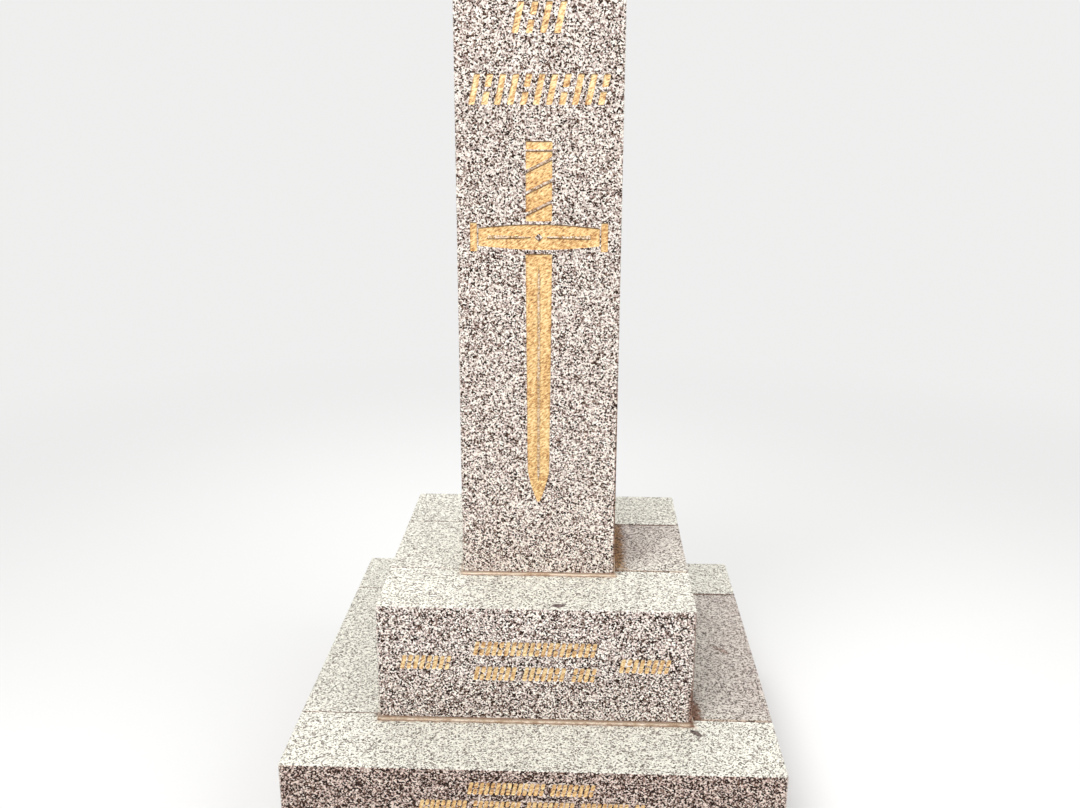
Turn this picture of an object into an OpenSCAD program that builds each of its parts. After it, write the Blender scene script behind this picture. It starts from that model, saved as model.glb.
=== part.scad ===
// Memorial pillar: a square granite shaft, bedded in mortar on two square
// courses of sawn granite, each laid as four stones with thin mortar joints.
// The front carries a shallow carved sword and rows of carved strokes.
// Millimetres, +Z up, front towards -Y, underside at Z = 0.

/* [Lower course] */
// Width of the lower course, left to right
lower_width = 912; // [860:1:1150]
// Depth of the lower course, front to back
lower_depth = 912; // [860:1:1150]
// Height of the lower course above the ground
lower_height = 250; // [190:1:340]
// Depth of the stones across its front and back
lower_end_stone = 176; // [166:1:240]

/* [Upper course] */
// Width of the upper course, left to right
upper_width = 600; // [540:1:780]
// Depth of the upper course, front to back
upper_depth = 600; // [540:1:780]
// Height of the upper course above its mortar bed
upper_height = 230; // [180:1:320]
// Depth of the stones across its front and back
upper_end_stone = 174; // [140:1:200]

/* [Pillar] */
// Width of the pillar, left to right
pillar_width = 300; // [260:1:420]
// Depth of the pillar, front to back
pillar_depth = 300; // [260:1:420]
// Height of the pillar above its mortar bed
pillar_height = 1300; // [1060:1:1700]

/* [Edges] */
// Radius of the eased edges of the stones
arris = 2; // [0.5:0.5:6]
// Radius of the upright corners of the two courses
corner_radius = 5; // [1:0.5:12]

/* [Mortar] */
// Thickness of the mortar bed under the upper course
upper_bed = 9; // [4:0.5:16]
// Thickness of the mortar bed under the pillar
pillar_bed = 7; // [4:0.5:16]
// How far each bed stands out past the stone above it
bed_proud = 2; // [0.5:0.5:6]
// Width of the upright mortar joints between stones
joint_width = 3; // [1.5:0.5:8]
// How far the joint mortar is held back from the stone faces
joint_recess = 1.5; // [0.5:0.5:4]

/* [Sword] */
// Depth of the carved sword
sword_depth = 2; // [0.8:0.1:5]
// Drop from the top of the pillar to the top of the grip
sword_drop = 467; // [440:1:560]
// Width of the grip
grip_width = 47; // [36:1:64]
// Length of the grip
grip_length = 141; // [120:1:170]
// Length of the cap at the top of the grip
grip_cap = 14; // [10:1:20]
// Thickness of the uncut bands that wind round the grip
wrap_band = 6; // [2:0.5:9]
// Spacing of the uncut bands up the grip
wrap_pitch = 38; // [34:1:42]
// Rise of each band across the grip
wrap_rise = 24; // [10:1:28]
// Overall length of the crossguard
guard_length = 251; // [180:1:256]
// Height of the crossguard at its middle
guard_middle = 46; // [38:1:60]
// Height of the crossguard beside its end caps
guard_end = 32; // [26:1:44]
// Width of each end cap of the crossguard
guard_cap_width = 12; // [8:1:20]
// Height of each end cap of the crossguard
guard_cap_height = 52; // [40:1:66]
// Uncut line under the grip's cap and beside the guard's end caps
sword_gap = 3; // [1.5:0.5:6]
// Uncut stone between the grip and the guard
grip_gap = 6; // [3:0.5:10]
// Uncut stone between the guard and the blade
blade_gap = 8; // [3:0.5:12]
// Width of the blade at the guard
blade_width = 48; // [36:1:60]
// Width of the blade where the point begins
blade_tip_width = 41; // [24:1:50]
// Length of the blade, with its point
blade_length = 483; // [300:1:620]
// Length of the blade's point
point_length = 66; // [40:1:110]
// Width of the uncut line down the middle of the blade
fuller_width = 5; // [2:0.5:8]
// Width of the uncut diamond in the middle of the guard
diamond_width = 15; // [8:1:22]
// Thickness of the uncut wedge along each arm of the guard, at its wide end
wedge_wide = 7.5; // [4:0.5:10]
// Thickness of each wedge at its narrow end
wedge_narrow = 2.5; // [1:0.5:4]

/* [Stroke rows] */
// Depth of the carved strokes
stroke_depth = 1.5; // [0.8:0.1:4]
// Height of the strokes on the pillar
pillar_stroke = 52; // [36:1:60]
// Spacing of the rows on the pillar
pillar_row_pitch = 120; // [90:1:124]
// Drop from the top of the pillar to the middle of its first row
pillar_row_drop = 138; // [110:1:150]
// Width of the pillar's first row
pillar_first_row = 170; // [80:1:256]
// Width of the pillar's second row
pillar_second_row = 96; // [80:1:256]
// Width of the pillar's third row
pillar_third_row = 251; // [80:1:256]
// Height of the strokes on the upper course
upper_stroke = 27; // [18:1:32]
// Spacing of the two middle rows on the upper course
upper_row_pitch = 52; // [42:1:60]
// Drop from the top of the upper course to its first row
upper_row_drop = 83; // [40:1:90]
// Width of the two middle rows on the upper course
upper_row_width = 232; // [160:1:270]
// Distance of the two side groups from the middle of the upper course
side_group_offset = 207; // [190:1:230]
// Drop from the top of the upper course to the side groups
side_group_drop = 114; // [60:1:130]
// Width of each side group
side_group_width = 96; // [60:1:100]
// Height of the strokes on the lower course
lower_stroke = 23; // [16:1:28]
// Spacing of the rows on the lower course
lower_row_pitch = 38; // [34:1:48]
// Drop from the top of the lower course to its first row
lower_row_drop = 38; // [28:1:50]
// Width of the lower course's first row
lower_first_row = 228; // [100:1:500]
// Width of the lower course's second row
lower_second_row = 407; // [100:1:500]
// Width of the lower course's third row
lower_third_row = 300; // [100:1:500]

/* [Hidden] */
upper_base = lower_height + upper_bed;
upper_top = upper_base + upper_height;
pillar_base = upper_top + pillar_bed;
pillar_top = pillar_base + pillar_height;

// Carving keeps this far from the upright edges of a face.
carving_margin = 22;
row_limit = pillar_width - 2 * carving_margin;
side_group_reach = min(side_group_offset,
    upper_width / 2 - carving_margin - side_group_width / 2);

// A stroke's weight, spacing, lean and break, as shares of its height.
weight_share = 0.2;
pitch_share = 0.42;
lean_share = 0.22;
break_share = 0.16;
// More strokes than any row has: a row with no wider spaces.
unbroken = 99;

guard_reach = min(guard_length, row_limit);
guard_body = guard_reach - 2 * (guard_cap_width + sword_gap);
grip_top = pillar_top - sword_drop;
grip_bottom = grip_top - grip_length;
wrap_start = grip_bottom + wrap_rise / 2 + 2 * wrap_band;
guard_centre = grip_bottom - grip_gap - guard_middle / 2;
blade_top = guard_centre - guard_middle / 2 - blade_gap;
// The blade's tip stays at least this far above the pillar's foot.
tip_margin = 60;
blade_reach = min(blade_length, blade_top - pillar_base - tip_margin);
shoulder = blade_top - blade_reach + point_length;
// How round the blade's point is, and half the width of its very tip.
point_roundness = 1.35;
tip_half = 2;
fuller_top = blade_top - 20;
fuller_foot = shoulder - point_length / 3;
fuller_taper = 14;
// Where each wedge ends, as a share of the guard's arm.
wedge_reach = 0.85;
curve_steps = 12;
arc_steps = 3;

granite = "#bdb8b8";
mortar = "#a98f72";

// One corner of an outline at x, y: a point, or an arc of radius r. The inside
// lies toward_x, toward_y. The arc starts on the side face, or on the other.
function corner(x, y, toward_x, toward_y, r, side_first) =
    r <= 0 ? [[x, y]]
    : [for (i = [0:arc_steps])
        let (a = 90 * (side_first ? i : arc_steps - i) / arc_steps)
            [x + toward_x * r * (1 - cos(a)), y + toward_y * r * (1 - sin(a))]];

// A rectangle with a radius of its own at each corner, anticlockwise.
function eased_outline(x0, x1, y0, y1, r00, r10, r11, r01) = concat(
    corner(x0, y0, 1, 1, r00, true),
    corner(x1, y0, -1, 1, r10, false),
    corner(x1, y1, -1, -1, r11, true),
    corner(x0, y1, 1, -1, r01, false));

// A sawn stone. Exposed sides are 1, hidden sides are 0. Its exposed top edges
// are eased, and so are its upright edges between two exposed sides.
module stone(x0, x1, y0, y1, z0, z1, left, right, front, back, upright) {
    intersection() {
        translate([0, 0, z0])
            linear_extrude(height = z1 - z0)
                polygon(eased_outline(x0, x1, y0, y1,
                    upright * left * front, upright * right * front,
                    upright * right * back, upright * left * back));
        translate([0, y1, 0])
            rotate([90, 0, 0])
                linear_extrude(height = y1 - y0)
                    polygon(eased_outline(x0, x1, z0, z1,
                        0, 0, arris * right, arris * left));
        translate([x0, 0, 0])
            rotate([90, 0, 90])
                linear_extrude(height = x1 - x0)
                    polygon(eased_outline(y0, y1, z0, z1,
                        0, 0, arris * back, arris * front));
    }
}

// The four stones of one course, by name.
module course_stone(which, width, depth, z0, height, end_stone) {
    w = width / 2;
    d = depth / 2;
    inner = d - end_stone - joint_width;
    if (which == "front")
        stone(-w, w, -d, -d + end_stone, z0, z0 + height,
            1, 1, 1, 0, corner_radius);
    if (which == "back")
        stone(-w, w, d - end_stone, d, z0, z0 + height,
            1, 1, 0, 1, corner_radius);
    if (which == "left")
        stone(-w, -joint_width / 2, -inner, inner, z0, z0 + height,
            1, 0, 0, 0, corner_radius);
    if (which == "right")
        stone(joint_width / 2, w, -inner, inner, z0, z0 + height,
            0, 1, 0, 0, corner_radius);
}

// Mortar between the four stones of one course.
module course_joints(width, depth, z0, height, end_stone) {
    w = width / 2 - joint_recess;
    inner = depth / 2 - end_stone - joint_width;
    for (side = [-1, 1])
        translate([-w, side * (inner + joint_width / 2) - joint_width / 2, z0])
            cube([2 * w, joint_width, height - joint_recess]);
    translate([-joint_width / 2, -inner - joint_width / 2, z0])
        cube([joint_width, 2 * inner + joint_width, height - joint_recess]);
}

// A mortar bed under a block of the given width and depth.
module bed(width, depth, z0, thickness) {
    w = width / 2 + bed_proud;
    d = depth / 2 + bed_proud;
    translate([-w, -d, z0])
        cube([2 * w, 2 * d, thickness]);
}

// Cuts a flat drawing, x across and y up, into a face that looks to the front.
module carved(face, depth) {
    translate([0, face + depth, 0])
        rotate([90, 0, 0])
            linear_extrude(height = depth + 1)
                children();
}

// One leaning stroke, whole or broken in two.
module stroke(x, z, height, broken) {
    half = height / 2;
    weight = height * weight_share;
    lean = height * lean_share;
    gap = height * break_share / 2;
    parts = broken ? [[-half, -gap], [gap, half]] : [[-half, half]];
    for (p = parts)
        polygon([
            [x - weight / 2 + lean * p[0] / height, z + p[0]],
            [x + weight / 2 + lean * p[0] / height, z + p[0]],
            [x + weight / 2 + lean * p[1] / height, z + p[1]],
            [x - weight / 2 + lean * p[1] / height, z + p[1]]]);
}

// A row of strokes centred on x, with a wider space after every group of
// them. Every third stroke is broken in two.
module stroke_row(x, z, width, height, group = unbroken) {
    pitch = height * pitch_share;
    room = width - height * (weight_share + lean_share);
    count = floor(room / pitch);
    step = room / count;
    for (i = [0:count])
        if (i % (group + 1) != group)
            stroke(x - room / 2 + i * step, z, height, i % 3 == 1);
}

// The grip: a cap, then a shaft cut between winding bands left standing.
module grip() {
    w = grip_width / 2;
    shaft_top = grip_top - grip_cap - sword_gap / 2;
    difference() {
        translate([-w, grip_bottom])
            square([grip_width, grip_length]);
        translate([-w - 1, shaft_top - sword_gap / 2])
            square([grip_width + 2, sword_gap]);
        for (i = [0:2])
            wrap(wrap_start + i * wrap_pitch, w + 1);
    }
}

// One uncut band across the grip, rising to the right.
module wrap(z, w) {
    rise = wrap_rise / 2;
    polygon([[-w, z - rise - wrap_band / 2], [w, z + rise - wrap_band / 2],
        [w, z + rise + wrap_band / 2], [-w, z - rise + wrap_band / 2]]);
}

// Half height of the guard at t, from -1 at its left end to 1 at its right.
function guard_half(t) = guard_end / 2
    + (guard_middle - guard_end) / 2 * cos(90 * t);

// The crossguard, with its diamond and two wedges left standing.
module guard() {
    half = guard_body / 2;
    steps = [for (i = [-curve_steps:curve_steps]) i / curve_steps];
    upper = [for (t = steps) [t * half, guard_centre - guard_half(t)]];
    lower = [for (t = steps) [-t * half, guard_centre + guard_half(t)]];
    difference() {
        polygon(concat(upper, lower));
        translate([0, guard_centre])
            rotate([0, 0, 45])
                square(diamond_width / sqrt(2), center = true);
        for (side = [-1, 1])
            wedge(side, half);
    }
    for (side = [-1, 1])
        translate([side * (guard_reach - guard_cap_width) / 2, guard_centre])
            square([guard_cap_width, guard_cap_height], center = true);
}

// An uncut wedge along one arm of the guard, narrow towards the diamond.
module wedge(side, half) {
    inner = diamond_width;
    outer = half * wedge_reach;
    translate([0, guard_centre])
        scale([side, 1])
            polygon([[inner, -wedge_narrow / 2], [outer, -wedge_wide / 2],
                [outer, wedge_wide / 2], [inner, wedge_narrow / 2]]);
}

// Half width of the blade at s along its point, 0 at the shoulder.
function point_half(s) =
    blade_tip_width / 2 * (1 - pow(s, point_roundness)) + tip_half * s;

// The blade, with its middle line left standing.
module blade() {
    steps = [for (i = [0:curve_steps]) i / curve_steps];
    right = [for (s = steps) [point_half(s), shoulder - s * point_length]];
    left = [for (s = steps)
        [-point_half(1 - s), shoulder - (1 - s) * point_length]];
    difference() {
        polygon(concat([[blade_width / 2, blade_top]], right, left,
            [[-blade_width / 2, blade_top]]));
        fuller();
    }
}

// The uncut line down the blade, pointed at both ends.
module fuller() {
    w = fuller_width / 2;
    polygon([[0, fuller_top], [-w, fuller_top - 2 * fuller_taper],
        [-w, fuller_foot + fuller_taper], [0, fuller_foot],
        [w, fuller_foot + fuller_taper], [w, fuller_top - 2 * fuller_taper]]);
}

module lower_front_stone() {
    top = lower_height - lower_row_drop;
    color(granite)
        difference() {
            course_stone("front", lower_width, lower_depth, 0,
                lower_height, lower_end_stone);
            carved(-lower_depth / 2, stroke_depth) {
                stroke_row(0, top, lower_first_row, lower_stroke, 14);
                stroke_row(0, top - lower_row_pitch, lower_second_row,
                    lower_stroke, 9);
                stroke_row(0, top - 2 * lower_row_pitch, lower_third_row,
                    lower_stroke, 11);
            }
        }
}

module lower_back_stone() {
    color(granite)
        course_stone("back", lower_width, lower_depth, 0,
            lower_height, lower_end_stone);
}

module lower_left_stone() {
    color(granite)
        course_stone("left", lower_width, lower_depth, 0,
            lower_height, lower_end_stone);
}

module lower_right_stone() {
    color(granite)
        course_stone("right", lower_width, lower_depth, 0,
            lower_height, lower_end_stone);
}

module lower_joints() {
    color(mortar)
        course_joints(lower_width, lower_depth, 0,
            lower_height, lower_end_stone);
}

module upper_mortar_bed() {
    color(mortar)
        bed(upper_width, upper_depth, lower_height, upper_bed);
}

module upper_front_stone() {
    top = upper_top - upper_row_drop;
    color(granite)
        difference() {
            course_stone("front", upper_width, upper_depth, upper_base,
                upper_height, upper_end_stone);
            carved(-upper_depth / 2, stroke_depth) {
                stroke_row(0, top, upper_row_width, upper_stroke);
                stroke_row(0, top - upper_row_pitch, upper_row_width,
                    upper_stroke, 7);
                for (side = [-1, 1])
                    stroke_row(side * side_group_reach,
                        upper_top - side_group_drop, side_group_width,
                        upper_stroke);
            }
        }
}

module upper_back_stone() {
    color(granite)
        course_stone("back", upper_width, upper_depth, upper_base,
            upper_height, upper_end_stone);
}

module upper_left_stone() {
    color(granite)
        course_stone("left", upper_width, upper_depth, upper_base,
            upper_height, upper_end_stone);
}

module upper_right_stone() {
    color(granite)
        course_stone("right", upper_width, upper_depth, upper_base,
            upper_height, upper_end_stone);
}

module upper_joints() {
    color(mortar)
        course_joints(upper_width, upper_depth, upper_base,
            upper_height, upper_end_stone);
}

module pillar_mortar_bed() {
    color(mortar)
        bed(pillar_width, pillar_depth, upper_top, pillar_bed);
}

module pillar() {
    w = pillar_width / 2;
    d = pillar_depth / 2;
    first = pillar_top - pillar_row_drop;
    color(granite)
        difference() {
            stone(-w, w, -d, d, pillar_base, pillar_top,
                1, 1, 1, 1, arris);
            carved(-d, sword_depth) {
                grip();
                guard();
                blade();
            }
            carved(-d, stroke_depth) {
                stroke_row(0, first, min(pillar_first_row, row_limit),
                    pillar_stroke);
                stroke_row(0, first - pillar_row_pitch,
                    min(pillar_second_row, row_limit), pillar_stroke);
                stroke_row(0, first - 2 * pillar_row_pitch,
                    min(pillar_third_row, row_limit), pillar_stroke);
            }
        }
}

lower_front_stone();
lower_back_stone();
lower_left_stone();
lower_right_stone();
lower_joints();
upper_mortar_bed();
upper_front_stone();
upper_back_stone();
upper_left_stone();
upper_right_stone();
upper_joints();
pillar_mortar_bed();
pillar();
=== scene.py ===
"""Looks of the memorial pillar: worn granite stones, gilded carving, mortar, floor, light and camera."""

import math
import random

import bmesh
import bpy
import numpy as np
from mathutils import Matrix, Vector, noise
from mathutils.geometry import delaunay_2d_cdt


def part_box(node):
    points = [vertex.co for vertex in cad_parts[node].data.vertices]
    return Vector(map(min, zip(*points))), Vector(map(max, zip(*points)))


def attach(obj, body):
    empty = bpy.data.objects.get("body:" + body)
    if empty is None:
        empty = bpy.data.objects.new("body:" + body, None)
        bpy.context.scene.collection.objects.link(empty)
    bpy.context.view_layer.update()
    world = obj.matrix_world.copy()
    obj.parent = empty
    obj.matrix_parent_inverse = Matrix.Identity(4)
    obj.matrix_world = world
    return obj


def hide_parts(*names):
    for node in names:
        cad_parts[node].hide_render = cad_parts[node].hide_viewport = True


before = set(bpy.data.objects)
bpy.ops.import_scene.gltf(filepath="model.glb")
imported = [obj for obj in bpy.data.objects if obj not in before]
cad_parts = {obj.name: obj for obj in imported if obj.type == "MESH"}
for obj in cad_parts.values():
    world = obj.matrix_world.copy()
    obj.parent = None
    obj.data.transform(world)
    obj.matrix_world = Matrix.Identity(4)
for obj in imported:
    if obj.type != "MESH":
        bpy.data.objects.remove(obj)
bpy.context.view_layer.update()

MM = 0.001


# ---------------------------------------------------------------- node trees

class Graph:
    """A node tree being built. Its methods add nodes and return their outputs."""

    def __init__(self, tree):
        self.tree = tree

    def add(self, kind, inputs=(), out=0, **settings):
        """Adds a node, sets its properties, and links or sets the inputs given by name or number."""
        made = self.tree.nodes.new(kind)
        for key, value in settings.items():
            setattr(made, key, value)
        for key, value in dict(inputs).items():
            if isinstance(value, bpy.types.NodeSocket):
                self.tree.links.new(value, made.inputs[key])
            else:
                made.inputs[key].default_value = value
        return made.outputs[out] if len(made.outputs) else None

    def math(self, operation, *values, clamp=False):
        return self.add("ShaderNodeMath", enumerate(values), operation=operation, use_clamp=clamp)

    def vector(self, operation, *values):
        out = "Value" if operation == "LENGTH" else "Vector"
        return self.add("ShaderNodeVectorMath", enumerate(values), out, operation=operation)

    def scaled(self, vector, factor):
        return self.add("ShaderNodeVectorMath", {0: vector, "Scale": factor}, operation="SCALE")

    def split(self, vector):
        return self.add("ShaderNodeSeparateXYZ", {0: vector}).node.outputs

    def joined(self, x=0.0, y=0.0, z=0.0):
        return self.add("ShaderNodeCombineXYZ", {0: x, 1: y, 2: z})

    def switched(self, vector, steepness):
        """Each part of a vector as 0 where it is below zero and 1 where it is above, with a steep step."""
        raised = self.vector("MAXIMUM", self.scaled(vector, steepness), (0, 0, 0))
        return self.vector("MINIMUM", raised, (1, 1, 1))

    def ramped(self, value, low, high, to_low=0.0, to_high=1.0):
        """Maps value smoothly from low..high to to_low..to_high, and holds it outside."""
        return self.add("ShaderNodeMapRange", {"Value": value, "From Min": low, "From Max": high,
                                               "To Min": to_low, "To Max": to_high},
                        interpolation_type="SMOOTHSTEP")

    def mixed(self, factor, first, second, blend="MIX"):
        """Mixes two colours, whose sockets on the node are its seventh and eighth."""
        return self.add("ShaderNodeMix", {0: factor, 6: first, 7: second}, 2,
                        data_type="RGBA", blend_type=blend)

    def group(self, tree, inputs, out=0):
        """Places a node group of this kind of tree, with its own values."""
        kind = "ShaderNodeGroup" if tree.bl_idname == "ShaderNodeTree" else "GeometryNodeGroup"
        return self.add(kind, inputs, out, node_tree=tree)

    def ramp(self, value, stops, interpolation="LINEAR"):
        """A colour ramp of (position, colour) stops."""
        made = self.tree.nodes.new("ShaderNodeValToRGB")
        made.color_ramp.interpolation = interpolation
        elements = made.color_ramp.elements
        while len(elements) < len(stops):
            elements.new(0.5)
        for element, (position, colour) in zip(elements, stops):
            element.position = position
            element.color = colour
        self.tree.links.new(value, made.inputs[0])
        return made.outputs[0]


def new_group(kind, name, inputs, outputs):
    """A node group with named inputs (name, socket kind, default) and outputs (name, socket kind)."""
    tree = bpy.data.node_groups.new(name, kind)
    for label, socket, value in inputs:
        made = tree.interface.new_socket(label, in_out="INPUT", socket_type="NodeSocket" + socket)
        if value is not None:
            made.default_value = value
    for label, socket in outputs:
        tree.interface.new_socket(label, in_out="OUTPUT", socket_type="NodeSocket" + socket)
    given = tree.nodes.new("NodeGroupInput").outputs
    result = tree.nodes.new("NodeGroupOutput").inputs
    return tree, Graph(tree), given, result


def srgb(red, green, blue):
    """A linear colour from one given as it looks on a screen, 0 to 255."""
    def linear(value):
        value /= 255
        return value / 12.92 if value <= 0.04045 else ((value + 0.055) / 1.055) ** 2.4
    return (linear(red), linear(green), linear(blue), 1.0)


# ---------------------------------------------------------------- geometry trees

# Lines of a box's grid in the zone beside each of its edges.
EDGE_LINES = 5
# Steepness of a step between a box's low and high halves, over numbers of lines and over metres.
LINE_STEP = 1000.0
METRE_STEP = 1e6
# A side that doesn't show is taken to be this far away, so that its edges stay sharp.
OUT_OF_REACH = 10.0
# Edges that turn by more than this are shaded as sharp.
SHARP_ANGLE = math.radians(35)


def box_skin_tree():
    """The skin of a box as a grid whose lines are close together near the box's edges."""
    tree, g, given, result = new_group("GeometryNodeTree", "Box skin", [
        ("Low", "Vector", None), ("High", "Vector", None),
        ("Spacing", "Float", 10 * MM), ("Edge zone", "Float", 5 * MM),
    ], [("Mesh", "Geometry")])
    size = g.vector("SUBTRACT", given["High"], given["Low"])
    cells = g.vector("CEIL", g.scaled(size, g.math("DIVIDE", 1.0, given["Spacing"])))
    last = g.vector("ADD", cells, (2 * EDGE_LINES,) * 3)
    counts = g.split(g.vector("ADD", last, (1, 1, 1)))
    cube = g.add("GeometryNodeMeshCube", {
        "Size": (1, 1, 1), "Vertices X": counts[0], "Vertices Y": counts[1], "Vertices Z": counts[2]})
    place = g.add("GeometryNodeInputPosition")
    line = g.vector("MULTIPLY", g.vector("ADD", place, (0.5, 0.5, 0.5)), last)
    other = g.vector("SUBTRACT", last, line)
    nearest = g.vector("MINIMUM", line, other)
    share = g.vector("MINIMUM", g.scaled(nearest, 1 / EDGE_LINES), (1, 1, 1))
    close = g.scaled(g.vector("MULTIPLY", share, share), given["Edge zone"])
    zone = g.joined(given["Edge zone"], given["Edge zone"], given["Edge zone"])
    step = g.vector("DIVIDE", g.vector("SUBTRACT", g.scaled(size, 0.5), zone), g.scaled(cells, 0.5))
    beyond = g.vector("MAXIMUM", g.vector("SUBTRACT", nearest, (EDGE_LINES,) * 3), (0, 0, 0))
    inset = g.vector("ADD", close, g.vector("MULTIPLY", beyond, step))
    at_high = g.switched(g.vector("SUBTRACT", line, other), LINE_STEP)
    from_low = g.vector("ADD", given["Low"], inset)
    from_high = g.vector("SUBTRACT", given["High"], inset)
    across = g.vector("MULTIPLY", at_high, g.vector("SUBTRACT", from_high, from_low))
    spot = g.vector("ADD", from_low, across)
    moved = g.add("GeometryNodeSetPosition", {"Geometry": cube, "Position": spot})
    g.tree.links.new(moved, result[0])
    return tree


def box_reach(g, low, high, open_low, open_high):
    """Each point of a box, its distance from the nearest open side along each axis, and the way inwards."""
    place = g.add("GeometryNodeInputPosition")
    from_low = g.vector("SUBTRACT", place, low)
    from_high = g.vector("SUBTRACT", high, place)
    reach = g.vector("MINIMUM", from_low, from_high)
    at_high = g.switched(g.vector("SUBTRACT", from_low, from_high), METRE_STEP)
    change = g.vector("MULTIPLY", at_high, g.vector("SUBTRACT", open_high, open_low))
    is_open = g.vector("ADD", open_low, change)
    hidden = g.vector("SUBTRACT", (1, 1, 1), is_open)
    reach = g.vector("ADD", reach, g.scaled(hidden, OUT_OF_REACH))
    inwards = g.vector("SUBTRACT", (1, 1, 1), g.scaled(at_high, 2.0))
    return place, reach, inwards


def sawn_stone_tree(skin):
    """A sawn block: its open edges are eased, a little unevenly, with a few small chips."""
    tree, g, given, result = new_group("GeometryNodeTree", "Sawn stone", [
        ("Low", "Vector", None), ("High", "Vector", None),
        ("Open low sides", "Vector", None), ("Open high sides", "Vector", None),
        ("Spacing", "Float", 10 * MM), ("Corner radius", "Float", 5 * MM),
        ("Arris", "Float", 2 * MM), ("Unevenness", "Float", 0.4),
        ("Chip depth", "Float", 2.5 * MM), ("Seed", "Float", 0.0), ("Material", "Material", None),
    ], [("Mesh", "Geometry")])
    block = g.group(skin, {"Low": given["Low"], "High": given["High"], "Spacing": given["Spacing"]})
    place, reach, inwards = box_reach(
        g, given["Low"], given["High"], given["Open low sides"], given["Open high sides"])

    # How far the edges are eased here: their size wanders, and is more where there is a chip.
    shifted = g.vector("ADD", place, g.scaled((1.7, 3.1, 0.9), given["Seed"]))
    wave = g.add("ShaderNodeTexNoise", {"Vector": shifted, "Scale": 45.0, "Detail": 3.0})
    uneven = g.math("MULTIPLY", g.math("SUBTRACT", wave, 0.5), given["Unevenness"])
    factor = g.math("ADD", 1.0, g.math("MULTIPLY", uneven, 2.0))
    spots = g.add("ShaderNodeTexNoise", {"Vector": shifted, "Scale": 70.0, "Detail": 2.0})
    chip = g.math("MULTIPLY", g.ramped(spots, 0.66, 0.78), given["Chip depth"])
    radius = g.math("ADD", g.math("MULTIPLY", given["Corner radius"], factor), chip)
    arris = g.math("MINIMUM", g.math("ADD", g.math("MULTIPLY", given["Arris"], factor), chip), radius)

    # Square rings around an upright corner's centre become round ones. An arris is rounded likewise
    # along every outline, by pulling its ring in and dropping its top.
    reach_x, reach_y, reach_z = g.split(reach)
    corner_x = g.math("MAXIMUM", g.math("SUBTRACT", radius, reach_x), 0.0)
    corner_y = g.math("MAXIMUM", g.math("SUBTRACT", radius, reach_y), 0.0)
    corner = g.joined(corner_x, corner_y)
    ring = g.math("MAXIMUM", corner_x, corner_y)
    outline = g.math("MINIMUM", reach_x, reach_y)
    edge_out = g.math("MAXIMUM", g.math("SUBTRACT", arris, outline), 0.0)
    edge_up = g.math("MAXIMUM", g.math("SUBTRACT", arris, reach_z), 0.0)
    edge = g.joined(edge_out, edge_up)
    longest = g.math("MAXIMUM", edge_out, edge_up)
    share = g.math("SUBTRACT", 1.0, g.math("DIVIDE", longest, g.vector("LENGTH", edge)))
    drop = g.math("MULTIPLY", edge_up, share)
    pulled = g.math("SUBTRACT", ring, g.math("MULTIPLY", edge_out, share))
    eased = g.scaled(g.vector("NORMALIZE", corner), pulled)
    change = g.vector("ADD", g.vector("SUBTRACT", corner, eased), g.joined(0.0, 0.0, drop))
    moved = g.add("GeometryNodeSetPosition", {
        "Geometry": block, "Offset": g.vector("MULTIPLY", change, inwards)})
    # How much each point was eased. The material paints the eased edges paler, a painted highlight together
    # with wear.
    wear = g.math("DIVIDE", g.vector("LENGTH", change), given["Arris"])
    kept = g.add("GeometryNodeStoreNamedAttribute", {
        "Geometry": moved, "Name": "edge_wear_and_highlight", "Value": wear}, data_type="FLOAT", domain="POINT")
    real = g.add("GeometryNodeRealizeInstances", {0: kept})
    g.tree.links.new(g.add("GeometryNodeSetMaterial", {
        "Geometry": real, "Material": given["Material"]}), result[0])
    return tree


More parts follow.
